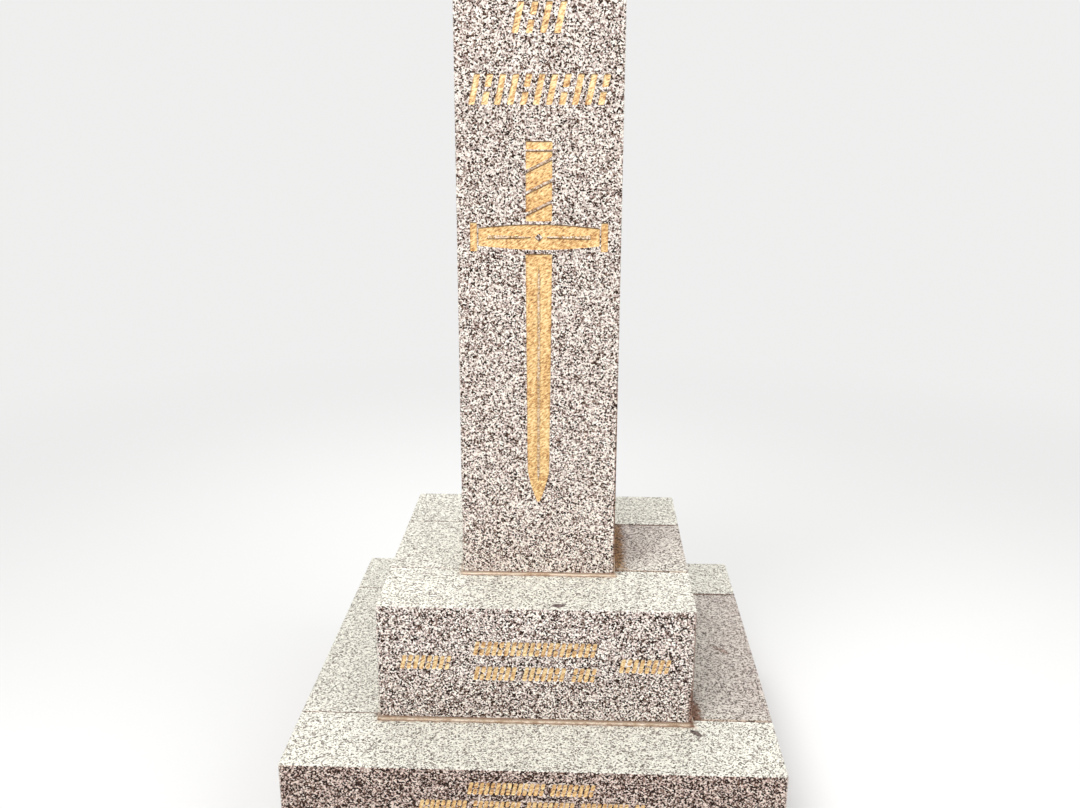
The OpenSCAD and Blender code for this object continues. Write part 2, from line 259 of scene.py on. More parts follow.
def mortar_bed_tree(skin):
    """A bed of mortar: its side tucks in under the stone above, bulges, and spreads raggedly at its foot."""
    tree, g, given, result = new_group("GeometryNodeTree", "Mortar bed", [
        ("Low", "Vector", None), ("High", "Vector", None), ("Spacing", "Float", 4 * MM),
        ("Tuck", "Float", 2.6 * MM), ("Spread", "Float", 2.0 * MM), ("Raggedness", "Float", 1.6 * MM),
        ("Seed", "Float", 0.0), ("Material", "Material", None),
    ], [("Mesh", "Geometry")])
    bed = g.group(skin, {"Low": given["Low"], "High": given["High"],
                         "Spacing": given["Spacing"], "Edge zone": 3 * MM})
    place, reach, inwards = box_reach(g, given["Low"], given["High"], (1, 1, 1), (1, 1, 1))
    margin = 12 * MM
    reach_x, reach_y, _ = g.split(reach)
    corner = g.joined(g.math("MAXIMUM", g.math("SUBTRACT", margin, reach_x), 0.0),
                      g.math("MAXIMUM", g.math("SUBTRACT", margin, reach_y), 0.0))
    from_side = g.math("MINIMUM", reach_x, reach_y)
    near = g.math("SUBTRACT", 1.0, g.math("DIVIDE", from_side, margin), clamp=True)
    size = g.split(g.vector("SUBTRACT", given["High"], given["Low"]))
    height = g.math("DIVIDE", g.split(g.vector("SUBTRACT", place, given["Low"]))[2], size[2])
    shifted = g.vector("ADD", place, g.scaled((1.3, 2.9, 0.7), given["Seed"]))
    coarse = g.add("ShaderNodeTexNoise", {"Vector": shifted, "Scale": 38.0, "Detail": 2.0})
    fine = g.add("ShaderNodeTexNoise", {"Vector": shifted, "Scale": 210.0, "Detail": 3.0})
    rough = g.math("ADD", g.math("SUBTRACT", coarse, 0.5),
                   g.math("MULTIPLY", g.math("SUBTRACT", fine, 0.5), 0.6))
    ragged = g.math("MULTIPLY", rough, g.math("MULTIPLY", given["Raggedness"], 2.0))
    tuck = g.math("MULTIPLY", given["Tuck"], g.ramped(height, 0.55, 1.0))
    foot = g.math("MULTIPLY", given["Spread"], g.ramped(height, 0.5, 0.0))
    pull = g.math("MULTIPLY", g.math("SUBTRACT", g.math("ADD", tuck, ragged), foot), near)
    shift = g.vector("MULTIPLY", g.scaled(g.vector("NORMALIZE", corner), pull), inwards)
    marked = g.add("GeometryNodeStoreNamedAttribute", {
        "Geometry": bed, "Name": "bed_height", "Value": height}, data_type="FLOAT", domain="POINT")
    moved = g.add("GeometryNodeSetPosition", {"Geometry": marked, "Offset": shift})
    real = g.add("GeometryNodeRealizeInstances", {0: moved})
    g.tree.links.new(g.add("GeometryNodeSetMaterial", {
        "Geometry": real, "Material": given["Material"]}), result[0])
    return tree


def from_tree(name, tree, values, cutter=None):
    """A plain mesh object made by a geometry tree with these values, less what the cutter takes away.

    The cutter is used up.
    """
    piece = bpy.data.objects.new(name, bpy.data.meshes.new(name))
    bpy.context.scene.collection.objects.link(piece)
    maker = piece.modifiers.new("Maker", "NODES")
    maker.node_group = tree
    sockets = {s.name: s.identifier for s in tree.interface.items_tree if s.in_out == "INPUT"}
    for label, value in values.items():
        maker[sockets[label]] = value
    if cutter:
        carve = piece.modifiers.new("Carving", "BOOLEAN")
        carve.operation = "DIFFERENCE"
        carve.object = cutter
        carve.solver = "MANIFOLD"
        carve.material_mode = "TRANSFER"
    evaluated = piece.evaluated_get(bpy.context.evaluated_depsgraph_get())
    mesh = bpy.data.meshes.new_from_object(evaluated)
    piece.modifiers.clear()
    piece.data = mesh
    mesh.name = name
    if cutter:
        bpy.data.objects.remove(cutter)
    # The piece had no material of its own before the tree ran, which can leave an empty first slot.
    if mesh.materials[0] is None:
        mesh.materials.pop(index=0)
    mesh.shade_smooth()
    mesh.set_sharp_from_angle(angle=SHARP_ANGLE)
    return piece


# ---------------------------------------------------------------- carving

# Points closer than this are one.
SAME_POINT = 1e-6
# A front face this far behind the stone's own front is the floor of some carving.
SHALLOWEST = 0.5 * MM
DEEPEST = 6 * MM
# Spacing of the points along the carving's edges and over its floor.
CARVING_SPACING = 2.0 * MM
# How far an edge wanders, in how many waves to a metre, and how high the ridges of a floor are.
EDGE_WANDER = 0.35 * MM
EDGE_WAVES = 130
FLOOR_RELIEF = 0.25 * MM
# Ways in from the face: (depth, distance outwards from the carved outline), down to the floor's edge.
LIP = [(-0.6 * MM, 0.95 * MM), (0.2 * MM, 0.15 * MM), (0.55 * MM, 0.0)]
FLOOR_RISE = 0.4 * MM
# Regions narrower than the first are strokes, and narrower than the second the courses' fine ones. These
# widths are twice the area over the outline's length.
STROKE_WIDTH = 9.0 * MM
FINE_STROKE_WIDTH = 5.0 * MM
# How much wider the fine strokes are cut on each side.
BOLDER = 0.8 * MM


def floor_outlines(node):
    """The carved floors of a stone: for each, its depth and its closed outlines as arrays of (x, z)."""
    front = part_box(node)[0].y
    stone = bmesh.new()
    stone.from_mesh(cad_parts[node].data)
    bmesh.ops.remove_doubles(stone, verts=stone.verts, dist=SAME_POINT)
    floors = {f for f in stone.faces
              if f.normal.y < -0.99 and SHALLOWEST < f.calc_center_median().y - front < DEEPEST}
    found = []
    while floors:
        region, todo = set(), [min(floors, key=lambda f: f.index)]
        while todo:
            face = todo.pop()
            if face in floors:
                floors.remove(face)
                region.add(face)
                todo.extend(f for e in face.edges for f in e.link_faces)
        depth = min(region, key=lambda f: f.index).calc_center_median().y - front
        found.append((depth, region_loops(region)))
    stone.free()
    return found


def region_loops(region):
    """The closed outlines of a set of faces, the largest first and anticlockwise, the rest clockwise."""
    following = {}
    for face in region:
        for loop in face.loops:
            if sum(f in region for f in loop.edge.link_faces) == 1:
                following[loop.vert] = loop.link_loop_next.vert
    loops = []
    while following:
        vert, after = following.popitem()
        outline = [vert, after]
        while outline[-1] in following:
            outline.append(following.pop(outline[-1]))
        loops.append(np.array([(v.co.x, v.co.z) for v in outline[:-1]]))
    loops.sort(key=lambda points: -abs(signed_area(points)))
    for i, points in enumerate(loops):
        if (signed_area(points) > 0) != (i == 0):
            loops[i] = points[::-1]
    return loops


def signed_area(points):
    x, z = points.T
    return 0.5 * float(np.sum(x * np.roll(z, -1) - np.roll(x, -1) * z))


def resampled(points, spacing):
    """A closed outline with a point at least every spacing, its corners a little rounded."""
    result = []
    for start, end in zip(points, np.roll(points, -1, axis=0)):
        pieces = max(1, math.ceil(np.linalg.norm(end - start) / spacing))
        result.extend(start + (end - start) * i / pieces for i in range(pieces))
    result = np.array(result)
    return (np.roll(result, 1, axis=0) + 2 * result + np.roll(result, -1, axis=0)) / 4


def outward(points):
    """The unit normals of an outline, away from the carved region."""
    along = np.roll(points, -1, axis=0) - np.roll(points, 1, axis=0)
    along /= np.maximum(np.linalg.norm(along, axis=1, keepdims=True), 1e-12)
    return np.stack([along[:, 1], -along[:, 0]], axis=1)


def offset(points, reach):
    """An outline moved outwards by reach, or by less where a thin tip would turn inside out."""
    normals = outward(points)
    gaps = np.linalg.norm(points[:, None] - points[None], axis=2)
    facing_back = normals @ normals.T < -0.3
    room = 0.35 * np.min(np.where(facing_back, gaps, 1.0), axis=1)
    return points + normals * (math.copysign(1, reach) * np.minimum(abs(reach), room))[:, None]


def inside(points, loops):
    """Which points lie within the outlines, by the even-odd rule."""
    crossings = np.zeros(len(points), int)
    for loop in loops:
        following = np.roll(loop, -1, axis=0)
        x0, z0 = loop[:, 0][None], loop[:, 1][None]
        x1, z1 = following[:, 0][None], following[:, 1][None]
        x, z = points[:, 0][:, None], points[:, 1][:, None]
        spans = (z0 > z) != (z1 > z)
        rise = np.where(z1 == z0, 1e-12, z1 - z0)
        crossings += np.sum(spans & (x < x0 + (z - z0) * (x1 - x0) / rise), axis=1)
    return crossings % 2 == 1


def cap(loops, extra):
    """Triangles that fill the outlines through the extra points. Numbers follow the loops, then extra."""
    points = np.concatenate(loops + ([extra] if len(extra) else []))
    edges, start = [], 0
    for loop in loops:
        count = len(loop)
        edges.extend((start + i, start + (i + 1) % count) for i in range(count))
        start += count
    verts, _, faces, originals, _, _ = delaunay_2d_cdt(
        [Vector(p) for p in points], edges, [], 0, 1e-9)
    centres = np.array([sum((verts[i] for i in f), Vector((0, 0))) / 3 for f in faces])
    within = inside(centres, loops)
    outline_edges = set(edges)
    kept = []
    for face, keep in zip(faces, within):
        corners = [originals[i][0] for i in face]
        sides = set(zip(corners, corners[1:] + corners[:1]))
        if sides & outline_edges:
            keep = True
        elif {(b, a) for a, b in sides} & outline_edges:
            keep = False
        if keep:
            kept.append(corners)
    return kept


def worn_outlines(outlines):
    """A region's outlines as the mason cut them, a little unsteady, and the region's mean width."""
    outlines = [resampled(points, CARVING_SPACING) for points in outlines]
    length = sum(np.sum(np.linalg.norm(points - np.roll(points, 1, axis=0), axis=1))
                 for points in outlines)
    width = 2 * sum(signed_area(points) for points in outlines) / length
    if width < STROKE_WIDTH:
        bolder = BOLDER if width < FINE_STROKE_WIDTH else 0.0
        outlines = [offset(points, bolder) for points in outlines]
    for points in outlines:
        for point, normal in zip(points, outward(points)):
            place = Vector((point[0] * EDGE_WAVES, point[1] * EDGE_WAVES, 0.5))
            point += normal * EDGE_WANDER * noise.noise(place)
    return outlines, width


def wall_faces(start, counts, rings):
    """Quads that join rings of points. Point numbers go on from start, and counts are each outline's."""
    ring_size = sum(counts)
    faces = []
    for ring in range(rings - 1):
        base = start + ring * ring_size
        for count in counts:
            for i in range(count):
                j = (i + 1) % count
                faces.append((base + i, base + j, base + ring_size + j, base + ring_size + i))
            base += count
    return faces


def carving_cutter(node, material, paleness):
    """The closed shape that is cut out of a stone's front: soft lips, steep walls and a rough floor.

    Its points carry "rim", how dirty and shaded the floor is there: dirt and painted shade, most along upper
    edges, where shade falls under the lip, and none in the middle, and "pale", how much paler the paint is
    there, which is paleness in the strokes and 0 elsewhere.
    """
    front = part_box(node)[0].y
    draw = random.Random(7)
    verts, faces, rims, pales = [], [], [], []
    for depth, outlines in floor_outlines(node):
        outlines, width = worn_outlines(outlines)
        levels = LIP + [(depth - FLOOR_RISE, -0.1 * MM), (depth, -0.45 * MM)]
        counts = [len(points) for points in outlines]
        start = len(verts)
        for level, reach in levels:
            for points in outlines:
                verts.extend((x, front + level, z) for x, z in offset(points, reach))
                rims.extend(rim_dirt_and_shade(outward(points)) * min(1.0, 0.4 + width / (20 * MM)))
        faces.extend(wall_faces(start, counts, len(levels)))
        top = [offset(points, levels[0][1]) for points in outlines]
        faces.extend(tuple(start + i for i in face) for face in cap(top, []))
        edge = [offset(points, levels[-1][1]) for points in outlines]
        extra = floor_points(edge, CARVING_SPACING, draw)
        base = start + (len(levels) - 1) * sum(counts)
        faces.extend(tuple(base + i for i in face) for face in cap(edge, extra))
        verts.extend((x, front + depth + FLOOR_RELIEF * rippled(x, z), z) for x, z in extra)
        rims.extend(fading_dirt_and_shade(edge, extra, min(2.4 * MM, 0.2 * width)))
        pales.extend([paleness if width < STROKE_WIDTH else 0.0] * (len(verts) - start))
    mesh = bpy.data.meshes.new(node + "_carving")
    mesh.from_pydata(verts, [], faces)
    mesh.materials.append(material)
    mesh.attributes.new("rim", "FLOAT", "POINT").data.foreach_set("value", rims)
    mesh.attributes.new("pale", "FLOAT", "POINT").data.foreach_set("value", pales)
    shape = bmesh.new()
    shape.from_mesh(mesh)
    bmesh.ops.recalc_face_normals(shape, faces=shape.faces)
    shape.to_mesh(mesh)
    shape.free()
    cutter = bpy.data.objects.new(node + "_carving", mesh)
    bpy.context.scene.collection.objects.link(cutter)
    return cutter


def rim_dirt_and_shade(normals):
    """Dirt and painted shade along an outline that faces this way: most under an upper edge, least over a
    lower one.
    """
    return 0.4 + 0.6 * np.clip(normals[:, 1], -0.6, 1.0)


def fading_dirt_and_shade(loops, points, fade):
    """The rim's dirt and painted shade at points on the floor, which fade out at this distance from the
    nearest edge.
    """
    if not len(points):
        return []
    everything = np.concatenate(loops)
    edge_dirt_and_shade = np.concatenate([rim_dirt_and_shade(outward(loop)) for loop in loops])
    gaps = np.linalg.norm(points[:, None] - everything[None], axis=2)
    return edge_dirt_and_shade[np.argmin(gaps, axis=1)] * np.clip(1 - np.min(gaps, axis=1) / fade, 0, 1)


def floor_points(loops, spacing, draw):
    """Jittered points over a floor, clear of its edge."""
    everything = np.concatenate(loops)
    low, high = everything.min(axis=0), everything.max(axis=0)
    points = []
    for i in range(int((high[0] - low[0]) / spacing) + 1):
        for j in range(int((high[1] - low[1]) / spacing) + 1):
            points.append((low[0] + (i + draw.uniform(0.1, 0.9)) * spacing,
                           low[1] + (j + draw.uniform(0.1, 0.9)) * spacing))
    points = np.array(points)
    points = points[inside(points, loops)]
    if not len(points):
        return points
    gaps = np.min(np.linalg.norm(points[:, None] - everything[None], axis=2), axis=1)
    return points[gaps > spacing * 0.55]


def rippled(x, z):
    """The rough floor's height, roughly -1 to 1: short ridges that lean up to the right."""
    along = 0.87 * x + 0.5 * z
    across = -0.5 * x + 0.87 * z
    return (noise.noise(Vector((along * 120, across * 420, 0.3)))
            + 0.6 * noise.noise(Vector((x * 500, z * 500, 4.1))))


# ---------------------------------------------------------------- shader groups

def granite_grains_group():
    """Interlocked grains with dark flakes among them: a rank from dark to light for each, and a tint."""
    tree, g, given, result = new_group("ShaderNodeTree", "Granite grains", [
        ("Vector", "Vector", None), ("Grain size", "Float", 3 * MM), ("Flake size", "Float", 4 * MM),
        ("Flakes", "Float", 0.2), ("Raggedness", "Float", 0.5),
    ], [("Rank", "Float"), ("Tint", "Float")])
    per_metre = g.math("DIVIDE", 1.0, given["Grain size"])
    wobble = g.add("ShaderNodeTexNoise", {
        "Vector": given["Vector"], "Scale": g.math("MULTIPLY", per_metre, 1.1), "Detail": 2.0}, "Color")
    offset = g.scaled(g.vector("SUBTRACT", wobble, (0.5, 0.5, 0.5)),
                      g.math("MULTIPLY", given["Raggedness"], given["Grain size"]))
    place = g.vector("ADD", given["Vector"], offset)
    grain = g.split(g.add("ShaderNodeTexVoronoi", {"Vector": place, "Scale": per_metre}, "Color"))
    flake = g.split(g.add("ShaderNodeTexVoronoi", {
        "Vector": place, "Scale": g.math("DIVIDE", 1.0, given["Flake size"])}, "Color"))
    is_flake = g.math("LESS_THAN", flake[0], given["Flakes"])
    others = g.math("MULTIPLY", grain[0], g.math("SUBTRACT", 1.0, is_flake))
    dark = g.math("MULTIPLY", g.math("MULTIPLY", flake[1], 0.18), is_flake)
    g.tree.links.new(g.math("ADD", others, dark), result["Rank"])
    g.tree.links.new(grain[2], result["Tint"])
    return tree


def soft_mark_group():
    """A soft-edged, uneven box or oval mark on a surface: 1 inside, 0 outside."""
    tree, g, given, result = new_group("ShaderNodeTree", "Soft mark", [
        ("Vector", "Vector", None), ("Centre", "Vector", None),
        ("Half size", "Vector", (0.01, 0.01, 0.01)), ("Softness", "Float", 0.3),
        ("Squareness", "Float", 0.0), ("Unevenness", "Float", 0.3), ("Slant", "Float", 0.0),
    ], [("Mask", "Float")])
    away = g.vector("SUBTRACT", given["Vector"], given["Centre"])
    slanted = g.vector("ADD", away, g.joined(g.math("MULTIPLY", given["Slant"], g.split(away)[1])))
    reach = g.vector("ABSOLUTE", g.vector("DIVIDE", slanted, given["Half size"]))
    parts = g.split(reach)
    square = g.math("MAXIMUM", parts[0], g.math("MAXIMUM", parts[1], parts[2]))
    oval = g.vector("LENGTH", reach)
    distance = g.math("ADD", g.math("MULTIPLY", square, given["Squareness"]),
                      g.math("MULTIPLY", oval, g.math("SUBTRACT", 1.0, given["Squareness"])))
    ragged = g.add("ShaderNodeTexNoise", {"Vector": given["Vector"], "Scale": 130.0, "Detail": 4.0})
    uneven = g.math("MULTIPLY", given["Unevenness"], 2.0)
    distance = g.math("ADD", distance, g.math("MULTIPLY", g.math("SUBTRACT", ragged, 0.5), uneven))
    inner = g.math("SUBTRACT", 1.0, given["Softness"])
    outer = g.math("ADD", 1.0, given["Softness"])
    g.tree.links.new(g.ramped(distance, inner, outer, 1.0, 0.0), result["Mask"])
    return tree


# ---------------------------------------------------------------- materials

def new_material(name):
    """An empty node material: its graph, object coordinates, and a function that finishes it."""
    material = bpy.data.materials.new(name)
    material.use_nodes = True
    tree = material.node_tree
    tree.nodes.clear()
    g = Graph(tree)
    coordinates = g.add("ShaderNodeTexCoord", out="Object")

    def finish(colour, roughness, height, bump_distance, metallic=0.0, gloss=0.5):
        bump = g.add("ShaderNodeBump", {"Height": height, "Distance": bump_distance, "Strength": 1.0})
        shader = g.add("ShaderNodeBsdfPrincipled", {
            "Base Color": colour, "Roughness": roughness, "Metallic": metallic,
            "Specular IOR Level": gloss, "Normal": bump})
        g.add("ShaderNodeOutputMaterial", {"Surface": shader})
        return material

    return g, coordinates, finish


grains = granite_grains_group()
soft_mark = soft_mark_group()

# Height at which an upright face has the second of its painted shade tones.
SHADE_TONE_HEIGHT = 1.5

# Minerals of an upright face, from black mica to white feldspar, each starting at a grain's rank.
UPRIGHT_GRAINS = [
    (0.00, srgb(34, 14, 4)), (0.12, srgb(76, 52, 38)), (0.18, srgb(126, 104, 92)),
    (0.29, srgb(168, 152, 145)), (0.44, srgb(208, 197, 188)), (0.62, srgb(238, 231, 221)),
    (0.84, srgb(250, 248, 239))]
# The same minerals bleached by weather on a top face, and darkened by damp and painted shade.
TOP_GRAINS = [
    (0.00, srgb(98, 90, 82)), (0.09, srgb(140, 132, 124)), (0.20, srgb(186, 182, 172)),
    (0.32, srgb(213, 210, 199)), (0.56, srgb(229, 227, 215)), (0.84, srgb(239, 238, 227))]
DAMP_AND_SHADE_GRAINS = [
    (0.00, srgb(34, 22, 18)), (0.10, srgb(78, 63, 57)), (0.20, srgb(126, 112, 107)),
    (0.36, srgb(160, 148, 142)), (0.60, srgb(188, 178, 171)), (0.84, srgb(212, 203, 194))]


def granite_material(name, shade_tones, hue, darkness, top_tone, damp_and_shade_side=None, marks=(), smears=()):
    """Salt-and-pepper granite: honed and speckled on upright faces, pale and weathered on top.

    The upright tone, painted shade that changes with height, goes from the first of shade_tones at the
    ground to the second at SHADE_TONE_HEIGHT, and top_tone is that of the tops. A darkness above 1 gives the
    upright faces more dark grains. Each mark is (inputs of the soft mark, colour, strength) and multiplies
    the colour. A smear is the same, but its colour lies over the stone in patches, like paint.
    """
    g, place, finish = new_material(name)
    rank = g.group(grains, {"Vector": place, "Grain size": 2.5 * MM, "Flake size": 3.0 * MM,
                            "Flakes": 0.11, "Raggedness": 0.5}, "Rank")
    tint = rank.node.outputs["Tint"]
    upright = g.ramp(g.math("POWER", rank, darkness), UPRIGHT_GRAINS, "CONSTANT")
    upright = g.mixed(g.ramped(tint, 0.5, 0.9), upright, (0.97, 0.90, 0.91, 1.0), "MULTIPLY")
    weathered = g.ramp(rank, TOP_GRAINS, "CONSTANT")
    facing = g.split(g.add("ShaderNodeNewGeometry", out="Normal"))[2]
    on_top = g.ramped(facing, 0.45, 0.8)

    cloud = g.add("ShaderNodeTexNoise", {"Vector": place, "Scale": 9.0, "Detail": 3.0})
    # Painted shade: the upright faces' tone changes with height.
    shade_tone = g.ramped(g.split(place)[2], 0.0, SHADE_TONE_HEIGHT, *shade_tones)
    change = g.math("ADD", shade_tone, g.math("MULTIPLY", g.math("SUBTRACT", cloud, 0.5), 0.14))
    upright = g.mixed(1.0, upright, g.scaled(hue, change), "MULTIPLY")
    # Painted highlight and wear: the eased edges turn paler, like a lit and bruised arris.
    worn_and_highlit_edge = g.add("ShaderNodeAttribute", out="Fac", attribute_name="edge_wear_and_highlight")
    upright = g.mixed(g.math("MULTIPLY", g.ramped(worn_and_highlit_edge, 0.02, 0.5), 0.35), upright, srgb(236, 228, 218))

    if damp_and_shade_side:
        weathered = damp_and_shade_side(g, place, rank, weathered)
    weathered = g.mixed(1.0, weathered, (top_tone, top_tone, top_tone, 1.0), "MULTIPLY")
    colour = g.mixed(on_top, upright, weathered)
    for settings, shade, strength in marks:
        mask = g.group(soft_mark, {"Vector": place, **settings})
        colour = g.mixed(g.math("MULTIPLY", mask, strength), colour, shade, "MULTIPLY")
    for settings, paint, strength in smears:
        mask = g.group(soft_mark, {"Vector": place, **settings})
        patch = g.add("ShaderNodeTexNoise", {"Vector": place, "Scale": 260.0, "Detail": 2.0})
        cover = g.math("MULTIPLY", mask, g.ramped(patch, 0.36, 0.56, 0.3 * strength, strength))
        colour = g.mixed(cover, colour, paint)
    roughness = g.ramped(rank, 0.0, 1.0, 0.38, 0.5)
    roughness = g.math("ADD", roughness, g.math("MULTIPLY", on_top, 0.28))
    return finish(colour, roughness, rank, 0.12 * MM, gloss=0.2)


def gold_material():
    """Flat gold paint over a rough floor: leaning ridges of streaky paint, with painted highlights on their
    crests and painted shade between them, and dirt with painted shade along the rim.
    """
    g, place, finish = new_material("Gold paint on rough granite")
    turned = g.add("ShaderNodeMapping", {"Vector": place, "Rotation": (0, math.radians(-30), 0),
                                         "Scale": (1, 1, 0.42)}, vector_type="TEXTURE")
    ridges = g.add("ShaderNodeTexNoise", {"Vector": turned, "Scale": 150.0, "Detail": 3.0,
                                          "Roughness": 0.6})
    broad = g.add("ShaderNodeTexNoise", {"Vector": place, "Scale": 22.0, "Detail": 2.0})
    # Streaky paint whose lightness follows the ridges' height: painted highlights on the crests and painted
    # shade between them.
    level = g.math("ADD", ridges, g.math("MULTIPLY", g.math("SUBTRACT", broad, 0.5), 0.2))
    colour = g.ramp(level, [(0.33, srgb(148, 98, 54)), (0.43, srgb(204, 156, 98)),
                            (0.52, srgb(228, 190, 130)), (0.64, srgb(244, 222, 168))])
    pale = g.add("ShaderNodeAttribute", out="Fac", attribute_name="pale")
    colour = g.mixed(pale, colour, (1.03, 1.11, 1.26, 1.0), "MULTIPLY")
    rim = g.add("ShaderNodeAttribute", out="Fac", attribute_name="rim")
    patch = g.add("ShaderNodeTexNoise", {"Vector": place, "Scale": 170.0, "Detail": 2.0})
    # Dirt and painted shade along the rim, darkest under the upper edges.
    edge_dirt_and_shade = g.ramped(g.math("ADD", rim, g.math("MULTIPLY", g.math("SUBTRACT", patch, 0.5), 0.8)), 0.2, 0.8)
    colour = g.mixed(g.math("MULTIPLY", edge_dirt_and_shade, 0.85), colour, srgb(96, 64, 40))
    roughness = g.ramped(ridges, 0.3, 0.7, 0.55, 0.42)
    return finish(colour, roughness, ridges, 1.0 * MM, metallic=0.1)


def mortar_material(name, light, dark, marks=(), upright_dirt_and_shade=0.0):
    """Sandy buff mortar, darkened along its upper edge by dirt and painted shade under the stone above, with
    a brown line near its foot.

    Each mark turns the mortar to its colour. The upright faces are darkened by dirt and painted shade, as
    much as upright_dirt_and_shade.
    """
    g, place, finish = new_material(name)
    sand = g.add("ShaderNodeTexNoise", {"Vector": place, "Scale": 700.0, "Detail": 2.0})
    cloud = g.add("ShaderNodeTexNoise", {"Vector": place, "Scale": 70.0, "Detail": 5.0})
    level = g.math("ADD", g.math("MULTIPLY", sand, 0.4), g.math("MULTIPLY", cloud, 0.6))
    colour = g.ramp(level, [(0.38, dark), (0.48, light), (0.64, srgb(236, 222, 204))])
    risen = g.add("ShaderNodeAttribute", out="Fac", attribute_name="bed_height")
    wander = g.math("MULTIPLY", g.math("SUBTRACT", cloud, 0.5), 0.7)
    # Dirt and painted shade: the top of the bed, where it tucks in under the stone, turns dark brown.
    top_dirt_and_shade = g.ramped(g.math("ADD", risen, wander), 0.5, 0.74)
    colour = g.mixed(g.math("MULTIPLY", top_dirt_and_shade, 0.68), colour, srgb(96, 66, 46))
    # A brown line near the foot of the bed.
    waving = g.math("ADD", risen, g.math("MULTIPLY", wander, 0.3))
    from_foot_line = g.math("ABSOLUTE", g.math("SUBTRACT", waving, 0.1))
    colour = g.mixed(g.ramped(from_foot_line, 0.06, 0.18, 0.75, 0.0), colour, srgb(118, 88, 66))
    # Dirt and painted shade: the upright faces darker, standing for the shade in a joint.
    facing = g.split(g.add("ShaderNodeNewGeometry", out="Normal"))[2]
    colour = g.mixed(g.ramped(facing, 0.3, 0.7, upright_dirt_and_shade, 0.0), colour, srgb(104, 78, 58))
    for settings, shade, strength in marks:
        mask = g.group(soft_mark, {"Vector": place, **settings})
        colour = g.mixed(g.math("MULTIPLY", mask, strength), colour, shade)
    roughness = g.ramped(sand, 0.3, 0.7, 0.82, 0.95)
    return finish(colour, roughness, level, 0.6 * MM)


# ---------------------------------------------------------------- stains and damp

# What each mark, stain or painted shade, multiplies the stone's colour by.
RUST = (0.52, 0.31, 0.14, 1.0)
# Brown for painted shade, on arrises and beside the back joints.
SHADE_BROWN = (0.36, 0.24, 0.18, 1.0)
BUFF = (0.74, 0.63, 0.53, 1.0)
TAN = (0.70, 0.58, 0.50, 1.0)
RED_BROWN = (0.40, 0.23, 0.17, 1.0)
MAUVE = (0.22, 0.16, 0.17, 1.0)
DARK_MARK = (0.13, 0.08, 0.08, 1.0)
# The colours that stains turn mortar to.
WET_MORTAR = srgb(104, 74, 56)
SOAKED_MORTAR = srgb(84, 60, 48)
# Gold paint that has run on to the stone, from clean to dirty.
BRIGHT_SMEAR = srgb(224, 184, 124)
DULL_SMEAR = srgb(206, 168, 116)
DIRTY_SMEAR = srgb(170, 134, 92)

# Half height of a mark on a top face, and half depth of one on a front face.
THROUGH = 20 * MM
# Heights of the middles of the sword's guard, grip and blade, and how far out the guard's wedges lie.
GUARD_HEIGHT = 1159 * MM
GRIP_HEIGHT = 1250 * MM
BLADE_HEIGHT = 900 * MM
WEDGE_MIDDLE = 62 * MM

lower_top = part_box("lower_front_stone")[1].z
upper_low, upper_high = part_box("upper_front_stone")
upper_top = upper_high.z
pillar_low, pillar_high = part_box("pillar")


def surface_mark(centre, half, colour, strength, square=0.0, softness=0.25, uneven=0.2, slant=0.0):
    """One mark for a material: a soft mark's inputs, its colour and how strong it is."""
    settings = {"Centre": centre, "Half size": half, "Squareness": square, "Softness": softness,
                "Unevenness": uneven, "Slant": slant}
    return settings, colour, strength


def joint_line(stone, at_back, colour, strength):
    """A line along a stone's edge beside its front or back joint, over its top and down its side."""
    low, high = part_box(stone)
    y = high.y - 1.5 * MM if at_back else low.y + 1.5 * MM
    half = ((high.x - low.x) / 2 + 5 * MM, 3.5 * MM, 500 * MM)
    return surface_mark(((low.x + high.x) / 2, y, high.z), half, colour, strength,
                 square=1.0, softness=0.2, uneven=0.55)


def joint_lines(stone):
    """The lines beside both joints of a right-hand stone: dirt and painted shade in dark brown beside the
    back joint, and a buff darkening beside the front one.
    """
    return [joint_line(stone, True, SHADE_BROWN, 0.9), joint_line(stone, False, BUFF, 0.75)]


def arris_shade(x, y, z, half_height, strength):
    """Painted shade in brown along an upright front arris, on the rounded edge where it turns away from the
    light.
    """
    return surface_mark((x, y, z), (3 * MM, 8 * MM, half_height), SHADE_BROWN, strength,
                 square=0.5, softness=0.4, uneven=0.6)


def foot_halo(bed, top):
    """A faint tan darkening on the course around the foot of a mortar bed."""
    low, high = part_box(bed)
    reach = 5 * MM
    half = ((high.x - low.x) / 2 + reach, (high.y - low.y) / 2 + reach, THROUGH)
    softness = reach / half[0]
    return surface_mark((0, 0, top), half, TAN, 0.9, square=1.0, softness=softness, uneven=2.5 * softness)


def sword_smears():
    """Patches of paint on the thin lines of stone left standing within the sword."""
    y = pillar_low.y
    smears = [
        surface_mark((0, y, GRIP_HEIGHT), (20 * MM, THROUGH, 62 * MM), DIRTY_SMEAR, 0.65,
              square=1.0, softness=0.06, uneven=0.0),
        surface_mark((0, y, BLADE_HEIGHT), (4 * MM, THROUGH, 200 * MM), DULL_SMEAR, 0.7,
              square=1.0, softness=0.2, uneven=0.0)]
    for x in (-WEDGE_MIDDLE, WEDGE_MIDDLE):
        smears.append(surface_mark((x, y, GUARD_HEIGHT), (44 * MM, THROUGH, 7 * MM), BRIGHT_SMEAR, 0.5,
                            square=1.0, softness=0.08, uneven=0.0))
    return smears


